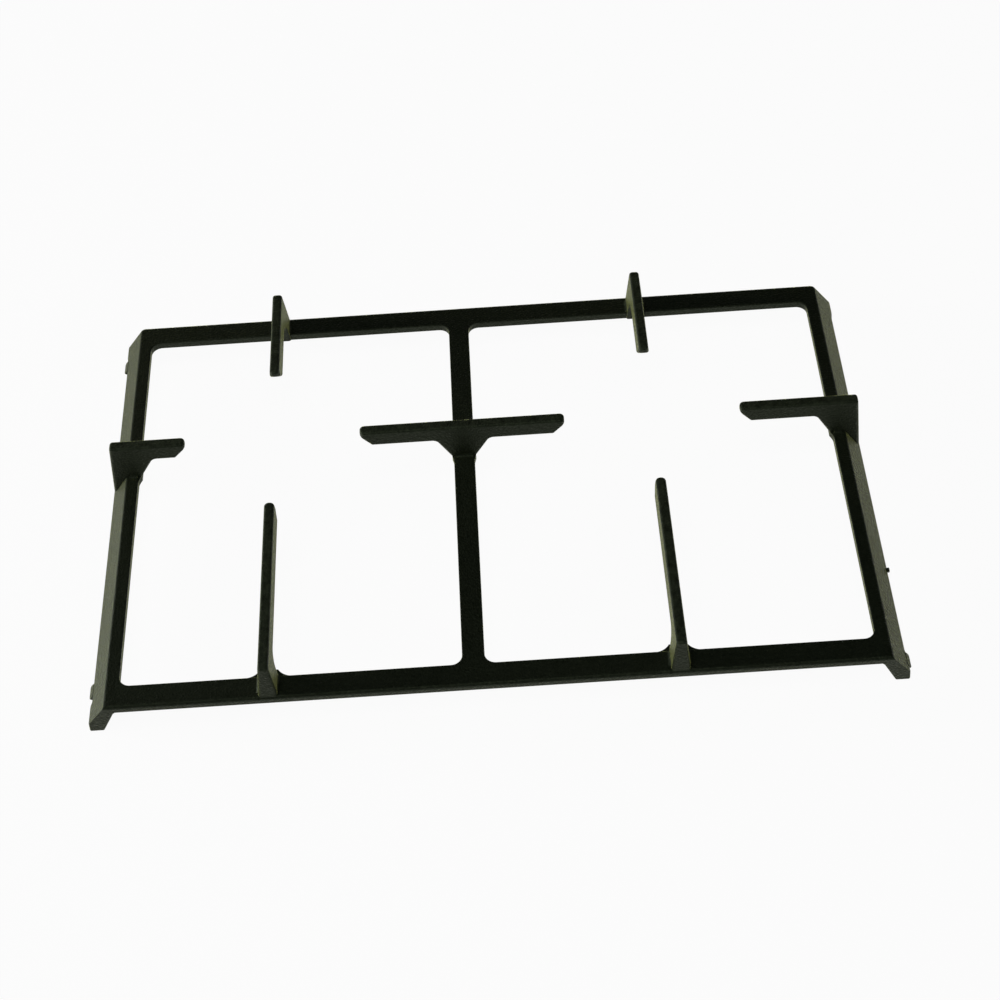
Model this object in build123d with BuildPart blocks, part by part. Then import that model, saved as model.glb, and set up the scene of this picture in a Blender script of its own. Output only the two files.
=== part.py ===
"""Two-burner cast-iron pan support for a gas hob: one casting, in millimetres, standing on Z = 0.

+X runs along the front rail to the right, +Y from the front rail to the back rail, and +Z up.
The origin lies under the middle of the frame. Two open cells stand over the burners, and four
fingers reach into each cell, with their tips on a circle around the burner.
"""

import os
from math import radians, tan

from build123d import *

# Burners and fingers along the frame, from the left end rail to the right one
left_finger_reach = 30.0
burner_gap_along = 101.6
cross_bar_length = 118.5
right_finger_reach = 54.8

# Fingers across the frame
front_finger_reach = 103.7
burner_gap_across = 99.6
back_finger_reach = 52.9

# Frame: flat rails around two cells
rail_thickness = 5.2
long_rail_width = 14.2
end_rail_width = 7.0
middle_rail_width = 12.1
cell_radius = 6.2
cell_edge_round = 0.7
rail_round = 1.8

# Skirts: the end rails slope outwards and down
skirt_run = 10.75
skirt_drop = 14.2
skirt_width = 8.35
skirt_shoulder = 2.4
rear_corner_round = 3.0

# Feet under the four ends of the skirts
foot_height = 6.8
foot_length = 13.0
foot_width = 7.9
foot_spread = 0.6
foot_blend = 5.0

# Finger section: upright plates, wider at the foot by the draft of the mould
finger_rise = 21.8
finger_width = 5.6
cross_finger_width = 6.5
finger_depth = 9.9
finger_nose = 3.4
finger_draft = 6.3
finger_round = 1.4
tip_round = 2.6

# Legs and posts: each finger slopes down to its rail, and its post runs out to the rail's outer edge
leg_run = 2.4
leg_foot = 1.6
leg_round = 8.0
cross_leg_run = 9.4
cross_leg_foot = 1.6
end_leg_run = 10.2
end_leg_foot = 2.4
cross_leg_round = 4.5
front_shelf_reach = 4.2
front_shelf_sweep = 7.5
cross_shelf_sweep = 7.0
shelf_drop = 0.3
shelf_setback = 0.7
post_inset = 0.3
front_post_lean = 6.3
back_post_lean = 0.0
end_post_inset = 1.2
end_post_lean = 5.0
post_round = 1.8
post_flare = 2.6
blend_bite = 0.25

# Locating lugs low on the skirts, and a casting nib on the right one
lug_length = 9.0
lug_overlap = 2.0
lug_thickness = 3.0
lug_proud = 0.2
lug_corner = 1.5
lug_round = 0.4
lug_reach = 2.2
left_back_lug_inset = 19.5
right_back_lug_inset = 17.0
left_front_lug_inset = 21.4
right_front_lug_inset = 8.1
nib_length = 2.6
nib_width = 3.6
nib_height = 1.7
nib_lift = 0.5
nib_reach = 0.3
nib_inset = 68.2

# Rounding of the other cast edges
edge_round = 1.0

inner_length = left_finger_reach + cross_bar_length + 2 * burner_gap_along + right_finger_reach
inner_depth = front_finger_reach + burner_gap_across + back_finger_reach
inner_x = inner_length / 2
inner_y = inner_depth / 2
half_length = inner_x + end_rail_width
half_depth = inner_y + long_rail_width
frame_depth = 2 * half_depth

left_burner_x = -inner_x + left_finger_reach + burner_gap_along / 2
middle_rail_x = left_burner_x + burner_gap_along / 2 + cross_bar_length / 2
right_burner_x = inner_x - right_finger_reach - burner_gap_along / 2
burner_y = -inner_y + front_finger_reach + burner_gap_across / 2

rail_top = foot_height + skirt_drop
rail_underside = rail_top - rail_thickness
rail_middle = rail_top - rail_thickness / 2
skirt_edge_x = half_length + skirt_run
shoulder_x = inner_x + skirt_shoulder
foot_inner_x = skirt_edge_x + foot_spread - foot_width
foot_lean = (foot_inner_x - shoulder_x) / rail_underside
finger_top = rail_top + finger_rise
finger_underside = finger_top - finger_depth
leg_foot_z = rail_underside + edge_round
draft_slope = tan(radians(finger_draft))


def is_above(edge):
    """Whether an edge lies along the top of the rails."""
    return edge.bounding_box().min.Z > rail_middle


def is_in_cell(edge):
    """Whether an edge borders a cell, and not the outside of the frame."""
    middle = edge.center()
    return abs(middle.X) < half_length - end_rail_width / 2 and abs(middle.Y) < half_depth - long_rail_width / 2


# Frame, skirts and feet, with every edge rounded, then the blends inside the feet
with BuildPart() as frame:
    with BuildSketch(Plane.XY.offset(rail_top)):
        Rectangle(2 * half_length, frame_depth)
    extrude(amount=-rail_thickness)
    with BuildSketch(Plane.XZ.offset(-half_depth)):
        with BuildLine():
            Polyline(
                (inner_x, rail_top),
                (half_length, rail_top),
                (skirt_edge_x, foot_height),
                (skirt_edge_x - skirt_width, foot_height),
                (shoulder_x, rail_underside),
                (inner_x, rail_underside),
                close=True,
            )
        make_face()
        mirror(about=Plane.YZ)
    extrude(amount=frame_depth)
    for back_face in (half_depth, foot_length - half_depth):
        with BuildSketch(Plane.XZ.offset(-back_face)):
            with BuildLine():
                Polyline(
                    (shoulder_x, rail_underside),
                    (foot_inner_x, 0),
                    (skirt_edge_x + foot_spread, 0),
                    (skirt_edge_x, foot_height),
                    (half_length, rail_middle),
                    close=True,
                )
            make_face()
            mirror(about=Plane.YZ)
        extrude(amount=foot_length)
    with BuildSketch(Plane.XY.offset(rail_top)):
        for cell_from, cell_to in (
            (-inner_x, middle_rail_x - middle_rail_width / 2),
            (middle_rail_x + middle_rail_width / 2, inner_x),
        ):
            with Locations(((cell_from + cell_to) / 2, 0)):
                RectangleRounded(cell_to - cell_from, inner_depth, cell_radius)
    extrude(amount=-rail_thickness, mode=Mode.SUBTRACT)
    rear_edges = frame.edges().filter_by(lambda edge: edge.bounding_box().min.Y > half_depth - foot_length / 2)
    rear_corners = rear_edges.filter_by(lambda edge: abs(edge.center().X) > foot_inner_x)
    fillet(rear_corners.filter_by(lambda edge: edge.bounding_box().size.Z > foot_height / 2), rear_corner_round)
    fillet(frame.edges().filter_by(lambda edge: is_above(edge) and not is_in_cell(edge)), rail_round)
    fillet(frame.edges().filter_by(lambda edge: is_above(edge) and is_in_cell(edge)), cell_edge_round)
    fillet(frame.edges().filter_by(lambda edge: edge.bounding_box().max.Z < rail_middle), edge_round)
    for back_face in (half_depth, foot_length - half_depth):
        with BuildSketch(Plane.XZ.offset(edge_round - back_face)):
            with BuildLine():
                blend = FilletPolyline(
                    (inner_x - 2 * foot_blend, rail_underside),
                    (shoulder_x, rail_underside),
                    (shoulder_x + foot_lean * (rail_underside - edge_round), edge_round),
                    radius=foot_blend,
                )
                Polyline(
                    blend @ 1,
                    (half_length, rail_middle),
                    (inner_x - 2 * foot_blend, rail_middle),
                    blend @ 0,
                )
            make_face()
            mirror(about=Plane.YZ)
        extrude(amount=foot_length - 2 * edge_round)


def tip_corners(reach, run, foot):
    """The free end and leg of a finger: corners from the top of the tip to the foot of the leg."""
    leg_slope = (run - foot) / (finger_underside - rail_top)
    return [
        (reach, finger_top),
        (reach, finger_top - finger_nose),
        (reach - finger_depth + finger_nose, finger_underside),
        (run, finger_underside),
        (foot - (rail_top - leg_foot_z) * leg_slope, leg_foot_z),
    ]


def long_rail_outline(reach, lean):
    """A finger on the front or back rail, whose post runs out to the rail's outer edge."""
    post_foot = post_inset - long_rail_width
    post_top = post_foot + (finger_top - leg_foot_z) * tan(radians(lean))
    return [(post_foot, leg_foot_z), (post_top, finger_top)] + tip_corners(reach, leg_run, leg_foot)


def end_rail_outline(reach):
    """A finger on an end rail, whose post runs down over the skirt to its lower edge."""
    post_foot = end_post_inset - end_rail_width - skirt_run
    post_foot_z = foot_height + edge_round
    post_top = post_foot + (finger_top - post_foot_z) * tan(radians(end_post_lean))
    skirt_middle = skirt_width / 2 - end_rail_width - skirt_run
    return [
        (-end_rail_width / 2, rail_middle),
        (skirt_middle, post_foot_z),
        (post_foot, post_foot_z),
        (post_top, finger_top),
    ] + tip_corners(reach, end_leg_run, end_leg_foot)


def cross_bar_outline():
    """Two fingers in one bar across the middle rail."""
    rail_edge = middle_rail_width / 2
    half_bar = tip_corners(cross_bar_length / 2 - rail_edge, cross_leg_run, cross_leg_foot)
    right = [(rail_edge + along, up) for along, up in half_bar]
    left = [(-along, up) for along, up in reversed(right)]
    return right + left


def finger(root, along, outline, rounding, width, seat, tips):
    """A finger from its side outline, with draft on both flanks and a flare where it stands on the rail."""
    across = Vector(0, 0, 1).cross(along)
    half_width = width / 2
    half_foot = half_width + finger_top * draft_slope
    half_seat = half_width + finger_rise * draft_slope
    seat_from, seat_to = seat
    with BuildPart() as plate:
        with BuildSketch(Plane(root, x_dir=along, z_dir=-across)):
            with BuildLine():
                FilletPolyline(*outline, radius=rounding, close=True)
            make_face()
        extrude(amount=half_foot, both=True)
        with BuildSketch(Plane(root, x_dir=across, z_dir=along)):
            with BuildLine():
                Polyline(
                    (half_width, finger_top),
                    (-half_width, finger_top),
                    (-half_foot, 0),
                    (half_foot, 0),
                    close=True,
                )
            make_face()
        extrude(amount=inner_length, both=True, mode=Mode.INTERSECT)
        for tip in tips:
            nose = plate.faces().filter_by(Plane(root + along * tip, z_dir=along)).sort_by(Axis.Z)[-1]
            fillet(nose.edges().filter_by(lambda edge: edge.bounding_box().size.Z > finger_nose / 2), tip_round)
        post_edges = plate.edges().filter_by(lambda edge: edge.bounding_box().size.Z > finger_rise)
        if post_edges:
            fillet(post_edges, post_round)
        fillet(plate.edges().filter_by(lambda edge: edge.bounding_box().max.Z > rail_top), finger_round)
        flare_centre = Vector(half_seat + post_flare - blend_bite, rail_top + post_flare - blend_bite)
        with BuildSketch(Plane(root + along * seat_from, x_dir=across, z_dir=along)):
            with BuildLine():
                flare = CenterArc(flare_centre, post_flare, 180, 90)
                Polyline(
                    flare @ 1,
                    (flare_centre.X, rail_middle),
                    (0, rail_middle),
                    (0, flare_centre.Y),
                    flare @ 0,
                )
            make_face()
            mirror(about=Plane.YZ)
        extrude(amount=seat_to - seat_from)
    return plate.part


def leg_shelf(rail_edge, inwards, width, reach, sweep):
    """The rail's inner edge swelling out in a curve on both sides to carry a leg."""
    half_leg = width / 2 + finger_rise * draft_slope
    with BuildPart() as shelf:
        with BuildSketch(Plane(rail_edge + Vector(0, 0, leg_foot_z), x_dir=inwards, z_dir=(0, 0, 1))):
            with BuildLine():
                curve = TangentArc((-blend_bite, half_leg + sweep), (reach, half_leg - blend_bite), tangent=(0, -1))
                Polyline(
                    curve @ 1,
                    (reach, 0),
                    (-cell_edge_round, 0),
                    (-cell_edge_round, half_leg + sweep),
                    curve @ 0,
                )
            make_face()
            mirror(about=Plane.XZ)
        extrude(amount=rail_top - shelf_drop - leg_foot_z)
    return shelf.part


# Fingers: one on each long rail and end rail, and the cross bar on the middle rail
to_right = Vector(1, 0, 0)
to_back = Vector(0, 1, 0)
leg_rounding = [0, 0, 0, leg_round, 0]
cross_leg_rounding = [0, 0, 0, cross_leg_round, 0]
long_rail_seat = (post_inset + 2 * rail_round - long_rail_width, -cell_edge_round)
end_rail_seat = (rail_round - end_rail_width, -cell_edge_round)
middle_rail_seat = (cell_edge_round - middle_rail_width / 2, middle_rail_width / 2 - cell_edge_round)
fingers = [
    finger(
        Vector(middle_rail_x, burner_y, 0),
        to_right,
        cross_bar_outline(),
        cross_leg_rounding + cross_leg_rounding[::-1],
        cross_finger_width,
        middle_rail_seat,
        (-cross_bar_length / 2, cross_bar_length / 2),
    )
]
for burner_x in (left_burner_x, right_burner_x):
    for rail_y, along, reach, lean in (
        (-inner_y, to_back, front_finger_reach, front_post_lean),
        (inner_y, -to_back, back_finger_reach, back_post_lean),
    ):
        outline = long_rail_outline(reach, lean)
        root = Vector(burner_x, rail_y, 0)
        fingers.append(finger(root, along, outline, [0, 0] + leg_rounding, finger_width, long_rail_seat, (reach,)))
    front_root = Vector(burner_x, -inner_y, 0)
    fingers.append(leg_shelf(front_root, to_back, finger_width, front_shelf_reach, front_shelf_sweep))
for rail_x, along, reach in ((-inner_x, to_right, left_finger_reach), (inner_x, -to_right, right_finger_reach)):
    outline = end_rail_outline(reach)
    root = Vector(rail_x, burner_y, 0)
    end_rounding = [0, 0, 0, 0] + cross_leg_rounding
    fingers.append(finger(root, along, outline, end_rounding, cross_finger_width, end_rail_seat, (reach,)))
    fingers.append(leg_shelf(root, along, cross_finger_width, end_leg_foot - shelf_setback, cross_shelf_sweep))
for side in (to_right, -to_right):
    rail_edge = Vector(middle_rail_x, burner_y, 0) + side * (middle_rail_width / 2)
    fingers.append(leg_shelf(rail_edge, side, cross_finger_width, cross_leg_foot - shelf_setback, cross_shelf_sweep))


def skirt_lug(side, y):
    """A tab that carries the slope of a skirt on past its lower edge."""
    down_slope = Vector(skirt_run, -skirt_drop).normalized()
    outwards = Vector(skirt_drop, skirt_run).normalized()
    face_middle = Vector(skirt_edge_x, foot_height) + outwards * lug_proud
    with BuildPart() as lug:
        with BuildSketch(Plane.XZ.offset(-y)):
            with BuildLine():
                Polyline(
                    face_middle - down_slope * lug_overlap,
                    face_middle + down_slope * lug_reach,
                    face_middle + down_slope * lug_reach - outwards * lug_thickness,
                    face_middle - down_slope * lug_overlap - outwards * lug_thickness,
                    close=True,
                )
            make_face()
            if side == left:
                mirror(about=Plane.YZ, mode=Mode.REPLACE)
        extrude(amount=lug_length / 2, both=True)
        through = Axis((0, 0, 0), (side * outwards.X, 0, outwards.Y))
        fillet(lug.edges().filter_by(through), lug_corner)
        fillet(lug.faces().sort_by(through)[-1].edges(), lug_round)
    return lug.part


# Lugs, and the nib where the metal ran into the mould
left = -1
right = 1
lugs = [
    skirt_lug(left, half_depth - left_back_lug_inset),
    skirt_lug(left, left_front_lug_inset - half_depth),
    skirt_lug(right, half_depth - right_back_lug_inset),
    skirt_lug(right, right_front_lug_inset - half_depth),
]
with BuildPart() as nib:
    with BuildSketch(Plane.XZ.offset(half_depth - nib_inset)):
        with Locations((skirt_edge_x + nib_reach - nib_width / 2, foot_height + nib_lift + nib_height / 2)):
            Rectangle(nib_width, nib_height)
    extrude(amount=nib_length / 2, both=True)
    fillet(nib.edges(), lug_round)

# The casting
with BuildPart() as pan_support:
    add(frame.part)
    add(fingers)
    add(lugs)
    add(nib.part)

os.makedirs("parts", exist_ok=True)
pan_support.part.label = "pan_support"
export_step(pan_support.part, "parts/pan_support.step")
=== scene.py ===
from math import radians

import bpy
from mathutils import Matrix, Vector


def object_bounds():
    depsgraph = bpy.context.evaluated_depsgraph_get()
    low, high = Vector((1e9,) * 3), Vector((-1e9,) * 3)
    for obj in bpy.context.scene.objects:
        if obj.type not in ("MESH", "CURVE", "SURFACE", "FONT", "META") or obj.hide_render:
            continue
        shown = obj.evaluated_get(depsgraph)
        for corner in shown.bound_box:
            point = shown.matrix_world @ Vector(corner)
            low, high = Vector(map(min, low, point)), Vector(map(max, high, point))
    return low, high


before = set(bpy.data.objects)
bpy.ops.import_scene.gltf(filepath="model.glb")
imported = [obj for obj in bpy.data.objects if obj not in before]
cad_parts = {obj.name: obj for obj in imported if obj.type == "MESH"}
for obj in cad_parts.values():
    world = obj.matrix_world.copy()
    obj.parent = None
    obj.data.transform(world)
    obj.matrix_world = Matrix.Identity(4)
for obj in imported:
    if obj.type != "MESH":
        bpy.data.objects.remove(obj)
cad_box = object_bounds()

# The casting: one piece of grey iron, shot-blasted, sprayed with black enamel and fired.
# The enamel is a satin skin that follows the sand grain of the iron below it.
# It is a little uneven in gloss, with an olive cast where it catches the light.
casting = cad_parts["pan_support"]

olive_shine = (0.83, 1.0, 0.62, 1)
olive_sheen = (0.92, 1.0, 0.35, 1)
enamel = bpy.data.materials.new("satin_black_enamel")
enamel.use_nodes = True
skin = enamel.node_tree
skin.nodes.clear()
output = skin.nodes.new("ShaderNodeOutputMaterial")
shader = skin.nodes.new("ShaderNodeBsdfPrincipled")
skin.links.new(shader.outputs["BSDF"], output.inputs["Surface"])
shader.inputs["IOR"].default_value = 1.5
shader.inputs["Specular IOR Level"].default_value = 0.25
shader.inputs["Specular Tint"].default_value = olive_shine
shader.inputs["Sheen Weight"].default_value = 0.7
shader.inputs["Sheen Roughness"].default_value = 0.28
shader.inputs["Sheen Tint"].default_value = olive_sheen
on_casting = skin.nodes.new("ShaderNodeTexCoord").outputs["Object"]


def enamel_noise(spots_per_metre, detail):
    """Noise that is fixed to the casting."""
    noise = skin.nodes.new("ShaderNodeTexNoise")
    noise.inputs["Scale"].default_value = spots_per_metre
    noise.inputs["Detail"].default_value = detail
    skin.links.new(on_casting, noise.inputs["Vector"])
    return noise.outputs["Fac"]


def spread(tree, value, low, high, at_low=0.0, at_high=1.0):
    """Stretch a value, from low and high to what is wanted there."""
    stretch = tree.nodes.new("ShaderNodeMapRange")
    stretch.inputs["From Min"].default_value = low
    stretch.inputs["From Max"].default_value = high
    stretch.inputs["To Min"].default_value = at_low
    stretch.inputs["To Max"].default_value = at_high
    tree.links.new(value, stretch.inputs["Value"])
    return stretch.outputs["Result"]


def two_tone(tree, value, low, low_colour, high, high_colour):
    """A colour that goes from one tone to another as a value rises."""
    ramp = tree.nodes.new("ShaderNodeValToRGB")
    first, last = ramp.color_ramp.elements
    first.position = low
    first.color = low_colour
    last.position = high
    last.color = high_colour
    tree.links.new(value, ramp.inputs["Fac"])
    return ramp.outputs["Color"]


def combine(tree, operation, one, other):
    """Two values worked into one."""
    working = tree.nodes.new("ShaderNodeMath")
    working.operation = operation
    tree.links.new(one, working.inputs[0])
    tree.links.new(other, working.inputs[1])
    return working.outputs[0]


# Clouding of the enamel's colour, from near black to a thin olive grey
deep_black = (0.0009, 0.0022, 0.0011, 1)
thin_olive_grey = (0.0028, 0.0048, 0.0027, 1)
clouds = enamel_noise(spots_per_metre=140.0, detail=4.0)
clouded = two_tone(skin, clouds, low=0.3, low_colour=deep_black, high=0.75, high_colour=thin_olive_grey)

# The tops of the fingers are a little paler, in patches, within a few millimetres of the casting's
# highest level
pale_top_grey = (0.016, 0.021, 0.0125, 1)
finger_top = cad_box[1][2]
paling_starts_below = 0.0023
paling_full_below = 0.0003
level = skin.nodes.new("ShaderNodeSeparateXYZ")
skin.links.new(on_casting, level.inputs["Vector"])
near_top = spread(skin, level.outputs["Z"], finger_top - paling_starts_below, finger_top - paling_full_below)
patches = enamel_noise(spots_per_metre=210.0, detail=3.0)
paler_patches = spread(skin, patches, low=0.35, high=0.65, at_low=0.1, at_high=1.0)
colour = skin.nodes.new("ShaderNodeMix")
colour.data_type = "RGBA"
colour.inputs["B"].default_value = pale_top_grey
skin.links.new(combine(skin, "MULTIPLY", near_top, paler_patches), colour.inputs["Factor"])
skin.links.new(clouded, colour.inputs["A"])
skin.links.new(colour.outputs["Result"], shader.inputs["Base Color"])

# Uneven gloss
glossiest = 0.38
dullest = 0.62
gloss = enamel_noise(spots_per_metre=700.0, detail=3.0)
roughness = spread(skin, gloss, low=0.3, high=0.7, at_low=glossiest, at_high=dullest)
skin.links.new(roughness, shader.inputs["Roughness"])


def relief(height, strength, depth):
    """Unevenness of the surface, up to a depth in metres."""
    bump = skin.nodes.new("ShaderNodeBump")
    bump.inputs["Strength"].default_value = strength
    bump.inputs["Distance"].default_value = depth
    skin.links.new(height, bump.inputs["Height"])
    return bump


# Sand grain under the enamel, and the slow waves of a hand-finished mould
waves = relief(enamel_noise(spots_per_metre=60.0, detail=2.0), strength=0.1, depth=0.0006)
grain = relief(enamel_noise(spots_per_metre=900.0, detail=2.0), strength=1.0, depth=0.0005)
skin.links.new(waves.outputs["Normal"], grain.inputs["Normal"])
skin.links.new(grain.outputs["Normal"], shader.inputs["Normal"])

casting.data.materials.clear()
casting.data.materials.append(enamel)

# The floor: a wide sheet of white paper under the feet, a hair below them so that no faces share a plane.
# It is kept white for the camera and in reflections, with a trace of the casting's shadow.
floor_half = 4.0
floor_drop = 0.0003
floor_mesh = bpy.data.meshes.new("floor")
floor_mesh.from_pydata(
    [
        (-floor_half, -floor_half, -floor_drop),
        (floor_half, -floor_half, -floor_drop),
        (floor_half, floor_half, -floor_drop),
        (-floor_half, floor_half, -floor_drop),
    ],
    [],
    [(0, 1, 2, 3)],
)
floor = bpy.data.objects.new("floor", floor_mesh)
bpy.context.scene.collection.objects.link(floor)

paper_white = (0.82, 0.82, 0.82, 1)
pure_white = (1, 1, 1, 1)
white_share = 0.95
paper = bpy.data.materials.new("white_paper")
paper.use_nodes = True
sheet = paper.node_tree
sheet.nodes.clear()
output = sheet.nodes.new("ShaderNodeOutputMaterial")
matt = sheet.nodes.new("ShaderNodeBsdfDiffuse")
matt.inputs["Color"].default_value = paper_white
bright = sheet.nodes.new("ShaderNodeEmission")
bright.inputs["Color"].default_value = pure_white
bright.inputs["Strength"].default_value = 1.0
ray = sheet.nodes.new("ShaderNodeLightPath")
seen_or_mirrored = combine(sheet, "MAXIMUM", ray.outputs["Is Camera Ray"], ray.outputs["Is Glossy Ray"])
or_through = combine(sheet, "MAXIMUM", seen_or_mirrored, ray.outputs["Is Transmission Ray"])
share = spread(sheet, or_through, low=0.0, high=1.0, at_high=white_share)
blend = sheet.nodes.new("ShaderNodeMixShader")
sheet.links.new(share, blend.inputs["Fac"])
sheet.links.new(matt.outputs["BSDF"], blend.inputs[1])
sheet.links.new(bright.outputs["Emission"], blend.inputs[2])
sheet.links.new(blend.outputs["Shader"], output.inputs["Surface"])
floor.data.materials.append(paper)

# The studio: a white horizon under a dark ceiling, brighter on the left, and three soft boxes:
# a low one on the left, a weak one on the right and one overhead.
horizon_rise = 0.03
ceiling_rise = 0.22
ceiling_grey = (0.015, 0.015, 0.015, 1)
side_reach = 0.6
left_strength = 1.2
right_strength = 0.12
world = bpy.data.worlds.new("studio")
bpy.context.scene.world = world
world.use_nodes = True
room = world.node_tree
room.nodes.clear()
output = room.nodes.new("ShaderNodeOutputWorld")
walls = room.nodes.new("ShaderNodeBackground")
direction = room.nodes.new("ShaderNodeTexCoord")
heading = room.nodes.new("ShaderNodeSeparateXYZ")
room.links.new(direction.outputs["Generated"], heading.inputs["Vector"])
wall_tone = two_tone(room, heading.outputs["Z"], horizon_rise, pure_white, ceiling_rise, ceiling_grey)
room.links.new(wall_tone, walls.inputs["Color"])
from_left = spread(room, heading.outputs["X"], -side_reach, side_reach, left_strength, right_strength)
room.links.new(from_left, walls.inputs["Strength"])
room.links.new(walls.outputs["Background"], output.inputs["Surface"])


def soft_box(name, place, width, watts):
    """A square lamp that faces the middle of the floor."""
    lamp = bpy.data.lights.new(name, "AREA")
    lamp.shape = "SQUARE"
    lamp.size = width
    lamp.energy = watts
    box = bpy.data.objects.new(name, lamp)
    bpy.context.scene.collection.objects.link(box)
    box.location = place
    box.rotation_mode = "QUATERNION"
    box.rotation_quaternion = (-box.location).to_track_quat("-Z", "Y")


soft_box("left_box", place=(-2.0, 0.2, 0.26), width=0.5, watts=34.0)
soft_box("right_box", place=(1.6, -0.2, 1.4), width=1.0, watts=2.0)
soft_box("top_box", place=(-0.2, -0.7, 2.2), width=1.4, watts=17.0)

# The camera: the photo's own view, from about 50 degrees above the front rail, through a long lens.
# Its place and turn come from a fit to the casting's edges in the photo.
sensor_mm = 36.0
lens_mm = 69.6
camera_place = (0.013274, -0.723899, 0.871699)
camera_turn_degrees = (39.6974, 2.6111, -2.6267)
eye = bpy.data.cameras.new("photo_view")
eye.sensor_width = sensor_mm
eye.lens = lens_mm
camera = bpy.data.objects.new("photo_view", eye)
bpy.context.scene.collection.objects.link(camera)
camera.location = camera_place
camera.rotation_euler = [radians(angle) for angle in camera_turn_degrees]
bpy.context.scene.camera = camera

bpy.context.scene.view_settings.view_transform = "Standard"
